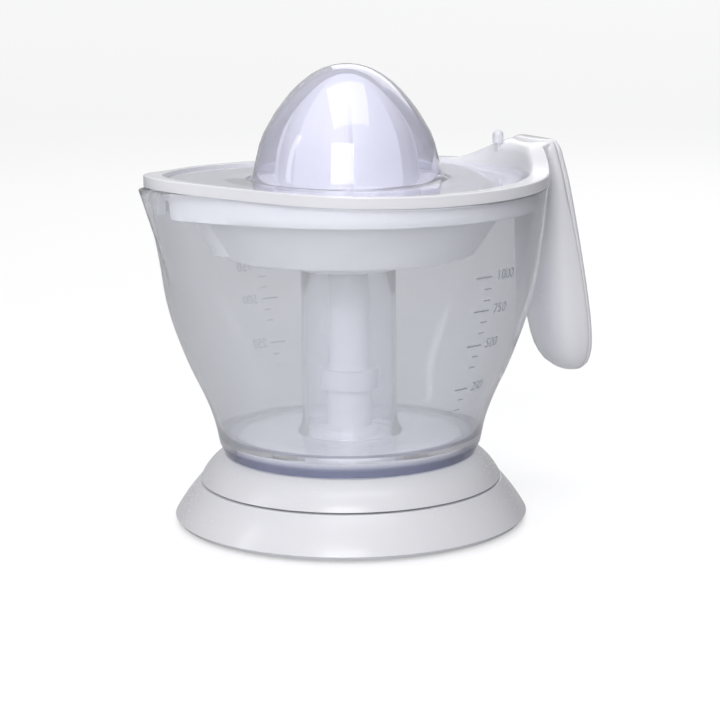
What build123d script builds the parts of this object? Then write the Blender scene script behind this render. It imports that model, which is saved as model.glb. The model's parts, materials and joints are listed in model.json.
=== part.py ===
from build123d import *
import math
import os

# Electric citrus juicer: a motor base, a one-litre jug lifted off it, and a top frame with a handle,
# strainer, reamer cone and dust cover.  Millimetres, +Z up, origin on the drive axis at the table.
# The spout points to -X and the handle to +X.

# ---- driving dimensions ---------------------------------------------------------------------------
WALL = 2.2                 # casing wall of the base
GAP = 0.3                  # clearance between pieces that only sit beside each other
BASE_R = 80.0              # widest radius of the base
SKIRT_TOP_Z = 18.3         # top edge of the lower housing
COLLAR_Z = 19.2            # bottom edge of the upper housing; the groove lies between them
SEAT_Z = 30.9              # ledge that carries the jug's foot
SEAT_R = 57.4
DECK_Z = 37.0              # raised deck inside the jug's foot
DECK_R = 50.4
HUB_R = 10.2               # fixed sleeve that guides the spindle
HUB_TOP_Z = 59.5
FOOT_Z = 31.2              # bottom of the jug's foot
FLOOR_Z = 38.2             # underside of the jug's floor
FLOOR_T = 2.2
JUG_WALL = 1.8
TUBE_R = 21.4              # clear central tube of the jug
TUBE_FOOT_R = 24.0
FOOT_IN_R = 53.2           # inside of the jug's foot ring
TUBE_TOP_Z = 118.0
RIM_Z = 150.0              # rim of the jug at its sides
RING_LOW_Z = 150.4         # lower edge of the frame's lip at its sides
RING_T = 4.9               # height of the frame's lip
LIP_R = 83.7               # circle of the frame's outline
RIM_SHIFT = 6.7            # that circle stands this far towards the handle
RIM_BUMP = 16.4            # how far the spout stands out of that circle
BUMP_WIDTH = math.radians(22.0)
RECESS = (78.2, 2.6, 8.5)  # circle, shift and spout of the cover's recess
BRIM = (77.7, 2.6, 8.0)
LEDGE_R = 74.2             # round opening below the recess
LEDGE_Z = 150.8            # ledge that carries the strainer's flange
SKIRT_LOW_Z = 142.0        # lower edge of the frame's skirt
SPINDLE_R = 9.5
SHAFT_R = 4.0              # gearmotor's output shaft
PRESS = 1.8                # travel of the cone and spindle that starts the motor

# gears: module, teeth and axes
MOTOR_MODULE = 0.8
OUTPUT_MODULE = 1.0
ROTOR_TEETH, IDLER_WHEEL_TEETH = 10, 30
IDLER_PINION_TEETH, OUTPUT_TEETH = 12, 32
ROTOR_X = -17.0
FIRST_CENTRES = MOTOR_MODULE * (ROTOR_TEETH + IDLER_WHEEL_TEETH) / 2
SECOND_CENTRES = OUTPUT_MODULE * (IDLER_PINION_TEETH + OUTPUT_TEETH) / 2
IDLER_X = (SECOND_CENTRES ** 2 + ROTOR_X ** 2 - FIRST_CENTRES ** 2) / (2 * ROTOR_X)
IDLER_Y = math.sqrt(SECOND_CENTRES ** 2 - IDLER_X ** 2)
GEAR_Z = 21.8              # lowest gear face, just over the gear plate

os.makedirs("parts", exist_ok=True)


# ---- helpers --------------------------------------------------------------------------------------
def cyl(radius, low, high, x=0.0, y=0.0):
    """An upright cylinder from z = low to z = high."""
    return Pos(x, y, low) * Cylinder(radius, high - low, align=(Align.CENTER, Align.CENTER, Align.MIN))


def tube(outer, inner, low, high, x=0.0, y=0.0):
    return cyl(outer, low, high, x, y) - cyl(inner, low - 1, high + 1, x, y)


def box(x0, x1, y0, y1, z0, z1):
    return Pos(x0, y0, z0) * Box(x1 - x0, y1 - y0, z1 - z0, align=(Align.MIN, Align.MIN, Align.MIN))


def turned(points):
    """A solid of revolution about Z from (radius, height) points."""
    with BuildPart() as solid:
        with BuildSketch(Plane.XZ):
            with BuildLine():
                Polyline(*points, close=True)
            make_face()
        revolve(axis=Axis.Z)
    return solid.part


def around(solid, count, first=0.0):
    """The same solid repeated about Z."""
    return [Rot(0, 0, first + 360.0 * i / count) * solid for i in range(count)]


def save(name, *solids):
    shape = solids[0] if len(solids) == 1 else Compound(children=list(solids))
    export_step(shape, f"parts/{name}.step")


def rise(x):
    """How far the rim and the frame stand above their height at the sides: up at spout and handle."""
    if x < 0:
        return 5.0 * (x / 94.0) ** 2
    return 1.5 * (x / 90.0) ** 2


def curved_slab(low, high, reach=110.0):
    """All the space between two heights that both follow the rim's curve."""
    stations = (-reach, -70, -40, 0, 45, reach)
    lower = [(x, low + rise(x)) for x in stations]
    upper = [(x, high + rise(x)) for x in reversed(stations)]
    with BuildPart() as slab:
        with BuildSketch(Plane.XZ):
            with BuildLine():
                Spline(*lower)
                Line(lower[-1], upper[0])
                Spline(*upper)
                Line(upper[-1], lower[0])
            make_face()
        extrude(amount=reach, both=True)
    return slab.part


def egg_radius(angle, circle, shift, bump):
    """Radius of the egg-shaped outline; angle is measured from the spout's direction."""
    off_axis = shift * math.sin(angle)
    spout = bump * math.exp(-(angle / BUMP_WIDTH) ** 2)
    return -shift * math.cos(angle) + math.sqrt(circle ** 2 - off_axis ** 2) + spout


def egg_face(circle, shift, bump, z, count=28):
    points = []
    for i in range(count):
        angle = -math.pi + 2 * math.pi * i / count
        r = egg_radius(angle, circle, shift, bump)
        points.append((-r * math.cos(angle), -r * math.sin(angle)))
    with BuildSketch(Plane.XY.offset(z)) as face:
        with BuildLine():
            Spline(*points, periodic=True)
        make_face()
    return face.sketch


def egg_prism(circle, shift, bump, low, high):
    return extrude(egg_face(circle, shift, bump, low), amount=high - low)


def gear(teeth, module, bore, low, high, x=0.0, y=0.0, turn=0.0):
    """A spur gear with straight-flanked teeth, thinned a little so that a pair runs free."""
    pitch = teeth * module / 2
    root, tip = pitch - 1.2 * module, pitch + 0.9 * module
    step = 2 * math.pi / teeth
    outline = []
    for i in range(teeth):
        centre = i * step
        for radius, share in ((root, -0.36), (pitch, -0.22), (tip, -0.10), (tip, 0.10), (pitch, 0.22), (root, 0.36)):
            angle = centre + share * step
            outline.append((radius * math.cos(angle), radius * math.sin(angle)))
    with BuildPart() as wheel:
        with BuildSketch(Plane.XY.offset(low)):
            with BuildLine():
                Polyline(*outline, close=True)
            make_face()
        extrude(amount=high - low)
    body = Rot(0, 0, turn) * wheel.part
    return Pos(x, y, 0) * (body - cyl(bore, low - 1, high + 1)) if bore else Pos(x, y, 0) * body


def plate(low, high, margin=0.0):
    """The gearmotor's plate: a disc over the rotor joined to a disc round the output shaft."""
    with BuildPart() as solid:
        with BuildSketch(Plane.XY.offset(low)):
            with Locations((ROTOR_X, 0)):
                Circle(30.5 + margin)
            Circle(19.5 + margin)
            make_hull()
        extrude(amount=high - low)
    return solid.part


# ---- base -----------------------------------------------------------------------------------------
POST_R = 54.4
POST_ANGLES = (45, 135, 225, 315)
MOTOR_POSTS = ((ROTOR_X, 34.5), (ROTOR_X, -34.5))
SCREW_R = 1.4
GLAND_Z = 9.4


def polar(radius, degrees):
    return radius * math.cos(math.radians(degrees)), radius * math.sin(math.radians(degrees))


def base_skirt():
    """Lower housing: a flared, slightly crowned ring with an inner lip that centres the collar."""
    outer = [(78.6, 1.2), (80.0, 3.0), (77.2, 7.6), (74.1, 12.0), (68.9, SKIRT_TOP_Z)]
    with BuildPart() as shell:
        with BuildSketch(Plane.XZ):
            with BuildLine():
                Line(outer[0], outer[1])
                Spline(*outer[1:])
                Polyline(outer[-1], (63.6, SKIRT_TOP_Z), (63.6, 21.0), (61.8, 21.0), (61.8, 16.0), (67.5, 16.0),
                         (71.6, 11.0), (77.0, 3.4), (77.0, 1.2), outer[0])
            make_face()
        revolve(axis=Axis.Z)
    gland_hole = Pos(0, 76, GLAND_Z) * Rot(90, 0, 0) * Cylinder(4.2, 16)
    return shell.part - gland_hole


def base_collar():
    """Upper housing: rounded shoulder, seat for the jug, raised deck, and the spindle's sleeve."""
    with BuildPart() as shell:
        with BuildSketch(Plane.XZ):
            with BuildLine():
                shoulder = Spline((68.2, COLLAR_Z), (65.6, 23.6), (62.0, 27.6), (SEAT_R, SEAT_Z))
                Polyline(shoulder @ 1, (DECK_R, SEAT_Z), (DECK_R, DECK_Z), (14.0, DECK_Z), (14.0, 41.0),
                         (HUB_R, 42.6), (HUB_R, HUB_TOP_Z), (8.3, HUB_TOP_Z), (8.3, 41.0), (11.8, 39.2),
                         (11.8, DECK_Z - 2.0), (DECK_R - 2, DECK_Z - 2.0), (DECK_R - 2, SEAT_Z - 2.2),
                         (SEAT_R - 1.2, SEAT_Z - 2.2), (60.6, 26.2), (63.8, 22.4), (65.6, COLLAR_Z), (68.2, COLLAR_Z))
            make_face()
        revolve(axis=Axis.Z)
    body = shell.part
    for degrees in POST_ANGLES:
        x, y = polar(POST_R, degrees)
        body += cyl(3.6, 3.6, SEAT_Z - 1.5, x, y)
        body -= cyl(SCREW_R, 3.0, 20.0, x, y)
    for x, y in MOTOR_POSTS:
        body += cyl(3.4, GEAR_Z - 0.6, DECK_Z - 1.0, x, y)
        body -= cyl(1.1, GEAR_Z - 1.0, 32.0, x, y)
    return body


def base_plate():
    """Bottom cover with vents, screw seats and holes for the feet's pegs."""
    body = cyl(76.6, 1.4, 3.6)
    for degrees in POST_ANGLES:
        x, y = polar(POST_R, degrees)
        body -= cyl(SCREW_R + 0.15, 0, 5, x, y)
        body -= cyl(3.2, 0, 2.0, x, y)
    for degrees in (0, 90, 180, 270):
        x, y = polar(64.0, degrees)
        body -= cyl(2.0, 0, 5, x, y)
    for column in range(-3, 4):
        body -= box(column * 6 - 22, column * 6 - 19, -14, 14, 0, 5)
    return body


def rubber_foot():
    return cyl(7.0, 0.0, 1.4) + cyl(2.0, 1.0, 4.4)


def housing_screw():
    """Pan-head screw; its thread is the plain core that fills the post's hole."""
    return cyl(2.9, 0.9, 2.0) - box(-2.2, 2.2, -0.4, 0.4, 0, 1.5) + cyl(SCREW_R, 1.8, 16.0)


def cord_gland():
    """Rubber inlet bush at the back of the skirt, where a mains cord would enter."""
    body = Pos(0, 74.8, GLAND_Z) * Rot(90, 0, 0) * Cylinder(4.15, 7.6)
    return body - Pos(0, 75, GLAND_Z) * Rot(90, 0, 0) * Cylinder(2.6, 20)


# ---- gearmotor ------------------------------------------------------------------------------------
def motor_can():
    body = cyl(28.6, 4.0, 20.2, ROTOR_X) - cyl(27.8, 4.8, 21.0, ROTOR_X)
    return body + cyl(1.5, 4.4, 6.6, ROTOR_X)


def claw_plates():
    """Two stamped pole plates whose bent fingers stand round the rotor."""
    finger = box(11.2, 12.2, -1.1, 1.1, 7.2, 17.0)
    lower = tube(27.4, 11.2, 6.2, 7.4)
    upper = tube(27.4, 11.2, 17.2, 18.4)
    raised = around(finger, 6)
    hanging = [Pos(0, 0, 0.6) * f for f in around(finger, 6, 30)]
    for one in raised:
        lower += one
    for one in hanging:
        upper += one
    return Pos(ROTOR_X, 0, 0) * lower, Pos(ROTOR_X, 0, 0) * upper


def coil_bobbin():
    body = tube(26.8, 12.9, 7.8, 8.8, ROTOR_X) + tube(26.8, 12.9, 15.8, 16.8, ROTOR_X)
    return body + tube(14.1, 12.9, 8.0, 16.4, ROTOR_X)


def coil_winding():
    return tube(25.6, 14.1, 8.8, 15.8, ROTOR_X)


def rotor_magnet():
    return tube(10.6, 2.6, 7.8, 17.0, ROTOR_X)


def rotor_hub():
    """Moulded hub of the rotor with the first pinion on top."""
    stem = cyl(2.6, 7.0, GEAR_Z, ROTOR_X)
    pinion = gear(ROTOR_TEETH, MOTOR_MODULE, 0, GEAR_Z - 0.2, GEAR_Z + 3.2, ROTOR_X, 0, 18)
    return stem + pinion - cyl(1.06, 6, 30, ROTOR_X)


def gear_pins():
    """Two fixed steel pins that carry the rotor and the idler between the plates."""
    rotor_pin = cyl(1.0, 6.6, 25.1, ROTOR_X)
    idler_pin = cyl(1.0, 20.2, 30.4, IDLER_X, IDLER_Y)
    return rotor_pin, idler_pin


def idler_gear():
    """Compound gear: a 30-tooth wheel driven by the rotor, and a 12-tooth pinion for the output."""
    mesh = math.degrees(math.atan2(-IDLER_Y, ROTOR_X - IDLER_X))
    wheel = gear(IDLER_WHEEL_TEETH, MOTOR_MODULE, 0, GEAR_Z, GEAR_Z + 3, IDLER_X, IDLER_Y, mesh + WHEEL_PHASE)
    towards_output = math.degrees(math.atan2(-IDLER_Y, -IDLER_X))
    pinion = gear(IDLER_PINION_TEETH, OUTPUT_MODULE, 0, GEAR_Z + 2.8, GEAR_Z + 8, IDLER_X, IDLER_Y, towards_output)
    return wheel + pinion - cyl(1.06, 20, 31, IDLER_X, IDLER_Y)


def mesh_phase():
    """Turn that puts a tooth of the rotor's pinion into a gap of the wheel."""
    towards_idler = math.degrees(math.atan2(IDLER_Y, IDLER_X - ROTOR_X))
    rotor_pitch = 360.0 / ROTOR_TEETH
    off = ((towards_idler - 18.0) / rotor_pitch) % 1.0
    return (0.5 - off) * 360.0 / IDLER_WHEEL_TEETH * -1


WHEEL_PHASE = mesh_phase()


def output_gear():
    """Output gear moulded on the flatted steel shaft that drives the spindle."""
    towards_idler = math.degrees(math.atan2(IDLER_Y, IDLER_X))
    half_pitch = 180.0 / OUTPUT_TEETH
    wheel = gear(OUTPUT_TEETH, OUTPUT_MODULE, 0, GEAR_Z + 3.8, GEAR_Z + 7.4, 0, 0, towards_idler + half_pitch)
    shaft = cyl(SHAFT_R, 20.4, 58.0) - box(3.0, 6.0, -5, 5, 33.0, 60.0)
    return wheel + shaft + cyl(6.0, GEAR_Z + 3.0, GEAR_Z + 8.0)


def gear_plate():
    body = plate(20.2, 21.2)
    for x, y in MOTOR_POSTS:
        ear = cyl(4.2, 20.2, 21.2, x, y)
        body += ear + box(x - 4.2, x + 4.2, min(0, y), max(0, y), 20.2, 21.2)
        body -= cyl(1.25, 19, 22, x, y)
    body -= cyl(4.0, 19, 22, ROTOR_X)
    body -= cyl(SHAFT_R + 0.05, 19, 22)
    return body - cyl(1.0, 19, 22, IDLER_X, IDLER_Y)


def gearbox_cover():
    """Cup over the gears; the output bush sits in its roof."""
    cup = plate(21.2, 31.2) - plate(21.0, 30.4, -1.0)
    return cup - cyl(6.0, 29, 33)


def output_bush():
    return tube(6.0, SHAFT_R + 0.05, 30.2, 31.6)


def motor_screw(x, y):
    return cyl(2.3, 19.0, 20.2, x, y) - box(x - 1.8, x + 1.8, y - 0.3, y + 0.3, 18, 19.5) + cyl(1.1, 20.0, 30.0, x, y)


# ---- spindle and switch ---------------------------------------------------------------------------
def hexagon(radius, low, high):
    with BuildPart() as solid:
        with BuildSketch(Plane.XY.offset(low)):
            RegularPolygon(radius, 6)
        extrude(amount=high - low)
    return solid.part


def drive_spindle():
    """Long hollow spindle: flatted bore below, drip collar over the sleeve, hexagon head on top."""
    body = cyl(8.2, 34.8, 64.0) + cyl(SPINDLE_R, 62.0, 134.0)
    body += tube(12.8, 10.9, 60.2, 69.0) + cyl(12.8, 62.4, 69.0)
    body += hexagon(8.0, 133.0, 149.0)
    bore = cyl(SHAFT_R + 0.08, 34.0, 72.0) - box(3.08, 6.0, -5, 5, 34.0, 58.2)
    return body - bore


def return_spring():
    """Coil between the top of the shaft and the end of the spindle's bore, as one closed sleeve."""
    return tube(3.4, 2.6, 58.3, 71.8)


def switch_body():
    return box(24.5, 38.0, -3.2, 3.2, 24.0, 32.4) - box(27.0, 29.0, -1.2, 1.2, 31.0, 33.0) \
        + box(35.2, 37.4, -3.2, -2.4, 32.0, 34.4) + box(35.2, 37.4, 2.4, 3.2, 32.0, 34.4) \
        - Pos(36.3, 0, 33.5) * Rot(90, 0, 0) * Cylinder(0.56, 8)


def switch_lever():
    """Steel leaf on a small pin; the spindle's lower end presses its tip."""
    leaf = box(4.9, 36.3, -2.0, 2.0, 33.95, 34.4)
    pin = Pos(36.3, 0, 33.5) * Rot(90, 0, 0) * Cylinder(0.5, 6.4)
    return leaf + pin + box(35.9, 36.7, -2.0, 2.0, 33.2, 34.2)


def switch_plunger():
    return box(27.3, 28.7, -0.9, 0.9, 31.6, 33.7)


# ---- jug ------------------------------------------------------------------------------------------
# height, circle radius, shift towards the handle, how far the spout stands out
JUG_SECTIONS = (
    (36.0, 59.2, 0.0, 0.0), (47.0, 61.6, 0.0, 0.0), (58.0, 65.6, 0.0, 0.0), (70.0, 71.2, 0.0, 0.0),
    (82.0, 76.0, 0.0, 0.0), (94.0, 80.0, 0.2, 0.2), (106.0, 82.8, 0.9, 1.0), (119.0, 83.8, 2.4, 4.2),
    (132.0, 83.9, 4.0, 8.6), (145.0, 83.6, 5.7, 13.6), (158.0, 83.4, 7.2, 17.6))
BEAK_LOW = (-79.8, 110.0, 3.0)     # centre x, height and radius of the beak's cone
BEAK_HIGH = (-87.3, 158.0, 10.6)


def jug_form(wall):
    faces = [egg_face(circle - wall, shift, bump, z, 20) for z, circle, shift, bump in JUG_SECTIONS]
    return loft(faces)


def beak(wall):
    rings = []
    for x, z, radius in (BEAK_LOW, BEAK_HIGH):
        with BuildSketch(Plane.XY.offset(z)) as ring:
            with Locations((x, 0)):
                Circle(radius - wall)
        rings.append(ring.sketch)
    return loft(rings, ruled=True)


def jug():
    """Clear wall of the jug: turned neck, egg-shaped mouth and V beak."""
    outer = jug_form(0) + beak(0)
    outer -= curved_slab(RIM_Z, RIM_Z + 30)
    return outer - (jug_form(JUG_WALL) + beak(JUG_WALL))


def jug_foot():
    """Floor and foot ring, moulded in one with the wall; a hole in the floor takes the central tube."""
    base = jug_form(JUG_WALL) & box(-80, 80, -80, 80, 30, FLOOR_Z + FLOOR_T)
    ring = turned([(FOOT_IN_R, FOOT_Z), (56.8, FOOT_Z), (58.6, 34.8), (58.6, 36.0), (57.0, 36.0), (57.0, 37.0),
                   (FOOT_IN_R, 37.0)])
    return base - cyl(FOOT_IN_R, 30, FLOOR_Z) - cyl(TUBE_FOOT_R, 30, FLOOR_Z + 4) + ring


def jug_tube():
    """Clear tube in the middle of the jug; its flared foot fills the hole in the jug's floor."""
    inner = TUBE_R - JUG_WALL
    return turned([(TUBE_R, TUBE_TOP_Z), (TUBE_R, 46.0), (TUBE_FOOT_R, FLOOR_Z + FLOOR_T), (TUBE_FOOT_R, FLOOR_Z),
                   (20.4, FLOOR_Z), (inner, 46.0), (inner, TUBE_TOP_Z)])


# ---- top frame ------------------------------------------------------------------------------------
NOTCH_HALF = 9.0           # half-width of the pour opening under the frame's tip
SKIRT_SHIFT = 5.2
SKIRT_BUMP = 11.5
KNOB_R = 82.8              # the pulp knob travels in an arc slot of this radius
KNOB_REST = 9.0            # degrees from the handle's direction, at the knob's stop
SLOT_HALF_ANGLE = 11.8


def knob_slot(low, high):
    """Arc slot that the pulp knob's stem travels in."""
    ring = tube(KNOB_R + 1.3, KNOB_R - 1.3, low, high)
    wedge = [(0, 0)] + [polar(120, a) for a in (-SLOT_HALF_ANGLE, 0, SLOT_HALF_ANGLE)]
    with BuildPart() as sector:
        with BuildSketch(Plane.XY.offset(low)):
            with BuildLine():
                Polyline(*wedge, close=True)
            make_face()
        extrude(amount=high - low)
    return ring & sector.part


def frame_ring():
    """Egg-shaped lip with the cover's recess, and a skirt that drops inside the jug."""
    lip = egg_prism(LIP_R, RIM_SHIFT, RIM_BUMP, 145, 170) & curved_slab(RING_LOW_Z, RING_LOW_Z + RING_T)
    skirt_outer = egg_prism(LIP_R - 3.4, SKIRT_SHIFT, SKIRT_BUMP, SKIRT_LOW_Z, RING_LOW_Z + 4.5)
    skirt_outer &= curved_slab(SKIRT_LOW_Z - 12, RING_LOW_Z + 0.6)
    skirt_inner = egg_prism(LIP_R - 4.7, SKIRT_SHIFT, SKIRT_BUMP - 1.8, SKIRT_LOW_Z - 2, LEDGE_Z - 2)
    body = lip + skirt_outer - skirt_inner
    body -= cyl(LEDGE_R, SKIRT_LOW_Z - 2, 170)
    body -= egg_prism(*RECESS, LEDGE_Z, 170)
    return body - box(-120, -80, -NOTCH_HALF, NOTCH_HALF, SKIRT_LOW_Z - 2, RING_LOW_Z + 6.4)


# ---- handle ---------------------------------------------------------------------------------------
# height, outer face x, inner nose x, half width
GRIP_SECTIONS = (
    (160.0, 101.2, 88.6, 18.9), (150.0, 104.2, 91.2, 19.2), (134.0, 107.9, 91.6, 19.6), (116.0, 111.6, 92.0, 20.0),
    (98.0, 115.0, 93.6, 20.0), (82.0, 117.6, 95.6, 19.4), (70.0, 118.9, 98.6, 17.2), (62.5, 118.4, 103.0, 12.8),
    (58.6, 116.0, 108.2, 7.0))
PART_BACK = 4.4            # the outer shell is this thick, measured at the parting line
ARM_TOP_Z = 168.6
ARM_IN_X = 80.9


def grip_face(z, outer_x, nose_x, half):
    """A rounded section: squarer towards the outside, rounder towards the jug."""
    centre = outer_x - 0.40 * (outer_x - nose_x)
    points = []
    for i in range(20):
        t = 2 * math.pi * i / 20
        outside = math.cos(t) > 0
        power = 0.5 if outside else 0.86
        reach = (outer_x - centre) if outside else (centre - nose_x)
        x = centre + math.copysign(reach * abs(math.cos(t)) ** power, math.cos(t))
        points.append((x, half * math.copysign(abs(math.sin(t)) ** 0.7, math.sin(t))))
    with BuildSketch(Plane.XY.offset(z)) as face:
        with BuildLine():
            Spline(*points, periodic=True)
        make_face()
    return face.sketch


def arm_block():
    """The arm over the rim: rises out of the frame, runs level and turns down into the grip."""
    with BuildPart() as block:
        with BuildSketch(Plane.XZ):
            with BuildLine():
                Spline((ARM_IN_X, 155.6), (83.4, 163.0), (88.0, 167.4), (94.0, ARM_TOP_Z),
                       tangents=((0.15, 1), (1, 0)))
                Spline((94.0, ARM_TOP_Z), (98.2, 167.2), (100.6, 160.6), tangents=((1, 0), (0.3, -1)))
                Polyline((100.6, 160.6), (99.4, 152.2), (ARM_IN_X, 152.2), (ARM_IN_X, 155.6))
            make_face()
        extrude(amount=18.2, both=True)
    return block.part


def handle_form():
    grip = loft([grip_face(*section) for section in GRIP_SECTIONS])
    return grip + arm_block()


def parting_cutter(offset):
    """Everything outside the parting line between the two handle shells."""
    with BuildPart() as cutter:
        with BuildSketch(Plane.XZ):
            with BuildLine():
                Polyline((60, 163.8 + offset), (93.6 + offset, 163.8 + offset), (97.4 + offset, 156.0))
                Spline((97.4 + offset, 156.0), (103.2 + offset, 134.0), (107.3 + offset, 116.0),
                       (110.6 + offset, 98.0), (113.2 + offset, 82.0), (114.4 + offset, 50.0))
                Polyline((114.4 + offset, 50.0), (140, 50.0), (140, 190), (60, 190), (60, 163.8 + offset))
            make_face()
        extrude(amount=40, both=True)
    return cutter.part


def grip_hollow():
    """Space inside the grip, the same form with a wall left all round."""
    inset = [(z, outer - 2.0, nose + 2.0, half - 2.0) for z, outer, nose, half in GRIP_SECTIONS[1:-1]]
    return loft([grip_face(*section) for section in inset])


def handle_shells():
    """Inner shell, which carries the load, and the outer shell, a cover that snaps over it."""
    form = handle_form() - grip_hollow()
    inner = form - parting_cutter(0)
    outer = form & parting_cutter(0.15)
    return inner, outer


def top_frame(inner_shell):
    """One moulding: the ring, the arm's lower half and the inner half of the grip."""
    return frame_ring() + inner_shell - knob_slot(LEDGE_Z - 3, 180)


# ---- strainer, pulp ring, cone and cover ----------------------------------------------------------
STRAINER_WINDOWS = 16
CONE_LOW_Z = 139.6
RIDGE_TURN = 23.0          # degrees from +X to the first long ridge
# height and ridge radius of the cone
CONE_PROFILE = ((CONE_LOW_Z, 34.4), (150.0, 34.0), (160.0, 33.2), (168.0, 31.8), (176.0, 29.2), (183.0, 25.4),
                (189.0, 20.8), (194.0, 15.6), (197.6, 10.4), (199.4, 5.6))
COVER_LOW_Z = 152.6


def strainer():
    """Bowl with a slotted floor, side windows, a sleeve for the spindle and a drain chute."""
    body = turned([(75.6, 151.0), (75.6, 152.2), (70.8, 152.2), (69.6, 143.0), (55.6, 125.2), (24.2, 128.6),
                   (12.2, 130.0), (12.2, 139.0), (10.3, 139.0), (10.3, 113.0), (12.2, 113.0), (12.2, 127.2),
                   (22.7, 127.2), (22.7, 115.0), (24.2, 115.0), (24.2, 127.0), (54.5, 123.4), (55.5, 121.2),
                   (57.2, 122.0), (71.0, 143.0), (72.2, 151.0)])
    slot = Pos(38, 0, 126) * Box(21, 1.7, 12)
    body -= [Rot(0, 0, 360 * i / 30) * slot for i in range(30)]
    window = Pos(71, 0, 145.0) * Box(8, 7.0, 3.0)
    body -= [Rot(0, 0, 360 * i / STRAINER_WINDOWS) * window for i in range(STRAINER_WINDOWS)]
    outside = loft_cone((-62.3, 141.6, 9.7), (-57.0, 124.0, 6.0))
    inside = loft_cone((-62.3, 141.7, 8.3), (-57.0, 123.9, 4.6))
    bowl = loft_cone((0, 143.0, 70.4), (0, 122.0, 56.6))
    return body + (outside - inside - bowl)


def loft_cone(top, bottom):
    """A leaning cone between two circles given as centre x, height and radius."""
    rings = []
    for x, z, radius in (bottom, top):
        with BuildSketch(Plane.XY.offset(z)) as ring:
            with Locations((x, 0)):
                Circle(radius)
        rings.append(ring.sketch)
    return loft(rings, ruled=True)


def pulp_ring():
    """Turning ring under the frame: its windows open or close the strainer's side windows."""
    body = tube(73.9, 72.7, 142.8, 148.4)
    window = Pos(73, 0, 145.0) * Box(8, 7.0, 3.0)
    body -= [Rot(0, 0, 360 * i / STRAINER_WINDOWS) * window for i in range(STRAINER_WINDOWS)]
    arm = box(73.4, KNOB_R + 0.9, -2.4, 2.4, 146.8, 148.4) + box(KNOB_R - 0.9, KNOB_R + 0.9, -1.6, 1.6, 147.0, 165.4)
    return body + Rot(0, 0, KNOB_REST) * arm


def pulp_knob():
    """Small push-on knob that stands out of the slot at the root of the arm."""
    x, y = polar(KNOB_R, KNOB_REST)
    body = cyl(2.5, 165.2, 168.8, x, y) + Pos(x, y, 168.8) * Sphere(2.5)
    return body - Pos(x, y, 165.2) * Rot(0, 0, KNOB_REST) * Box(1.8, 3.2, 1.0)


def cone_outline(radius, z, short_rib):
    """Section of the cone: four long ridges with a short rib in the middle of each panel."""
    shares = ((0, 1.0), (10, 0.955), (24, 0.93), (41, 0.925), (45, 0.925 + short_rib), (49, 0.925), (66, 0.93),
              (80, 0.955))
    points = [polar(radius * share, RIDGE_TURN + quarter + angle) for quarter in (0, 90, 180, 270)
              for angle, share in shares]
    with BuildSketch(Plane.XY.offset(z)) as face:
        with BuildLine():
            Polyline(*points, close=True)
        make_face()
    return face.sketch


def reamer_cone():
    """Hollow reamer with its hexagon socket; the outside is lofted from ridged sections."""
    faces = [cone_outline(r, z, 0.06 * min(1.0, max(0.01, (192.0 - z) / 14.0))) for z, r in CONE_PROFILE]
    outside = loft(faces, ruled=True)
    inner = [(r - 4.4, z - 2.0) for z, r in CONE_PROFILE[1:-2]]
    hollow = turned([(0, CONE_LOW_Z - 1), (CONE_PROFILE[0][1] - 4.6, CONE_LOW_Z - 1), *inner, (0, 192.4)])
    socket = cyl(11.4, CONE_LOW_Z, 193.0) - hexagon(8.2, CONE_LOW_Z - 1, 149.4)
    socket -= cyl(7.0, 149.0, 190.0)
    return (outside - hollow) + (socket & outside)


def dust_cover():
    """Clear cover: a dome over the cone and a brim that follows the frame's curve."""
    outline = [(42.4, 153.0), (41.2, 159.0), (38.9, 170.0), (34.4, 179.5), (28.4, 188.4), (20.4, 197.0),
               (10.6, 203.2), (0.01, 205.2)]
    inner = [(max(0.01, r - 1.5 if z < 190 else r - 1.1), z - (0.0 if z < 160 else 1.1)) for r, z in outline]
    inner[-1] = (0.01, 203.6)
    with BuildPart() as dome:
        with BuildSketch(Plane.XZ):
            with BuildLine():
                Spline(*outline)
                Line(outline[-1], inner[-1])
                Spline(*reversed(inner))
                Line(inner[0], outline[0])
            make_face()
        revolve(axis=Axis.Z)
    brim = egg_prism(*BRIM, 145, 170) & curved_slab(COVER_LOW_Z, COVER_LOW_Z + 1.4)
    return (brim - cyl(41.0, 140, 170)) + dome.part


if __name__ == "__main__":
    save("base_skirt", base_skirt())
    save("base_collar", base_collar())
    save("base_plate", base_plate())
    save("rubber_feet", *[Pos(*polar(64.0, a), 0) * rubber_foot() for a in (0, 90, 180, 270)])
    save("housing_screws", *[Pos(*polar(POST_R, a), 0) * housing_screw() for a in POST_ANGLES])
    save("cord_gland", cord_gland())
    save("motor_can", motor_can())
    lower_plate, upper_plate = claw_plates()
    save("claw_plate_lower", lower_plate)
    save("claw_plate_upper", upper_plate)
    save("coil_bobbin", coil_bobbin())
    save("coil_winding", coil_winding())
    save("rotor_magnet", rotor_magnet())
    save("rotor_hub", rotor_hub())
    save("gear_pins", *gear_pins())
    save("idler_gear", idler_gear())
    save("output_gear", output_gear())
    save("gear_plate", gear_plate())
    save("gearbox_cover", gearbox_cover())
    save("output_bush", output_bush())
    save("motor_screws", *[motor_screw(x, y) for x, y in MOTOR_POSTS])
    save("drive_spindle", drive_spindle())
    save("return_spring", return_spring())
    save("switch_body", switch_body())
    save("switch_lever", switch_lever())
    save("switch_plunger", switch_plunger())
    save("jug", jug())
    save("jug_foot", jug_foot())
    save("jug_tube", jug_tube())
    inner_shell, outer_shell = handle_shells()
    save("top_frame", top_frame(inner_shell))
    save("handle_cover", outer_shell - egg_prism(LIP_R, RIM_SHIFT, RIM_BUMP, 140, 157.2))
    save("strainer", strainer())
    save("pulp_ring", pulp_ring())
    save("pulp_knob", pulp_knob())
    save("reamer_cone", reamer_cone())
    save("dust_cover", dust_cover())
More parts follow.
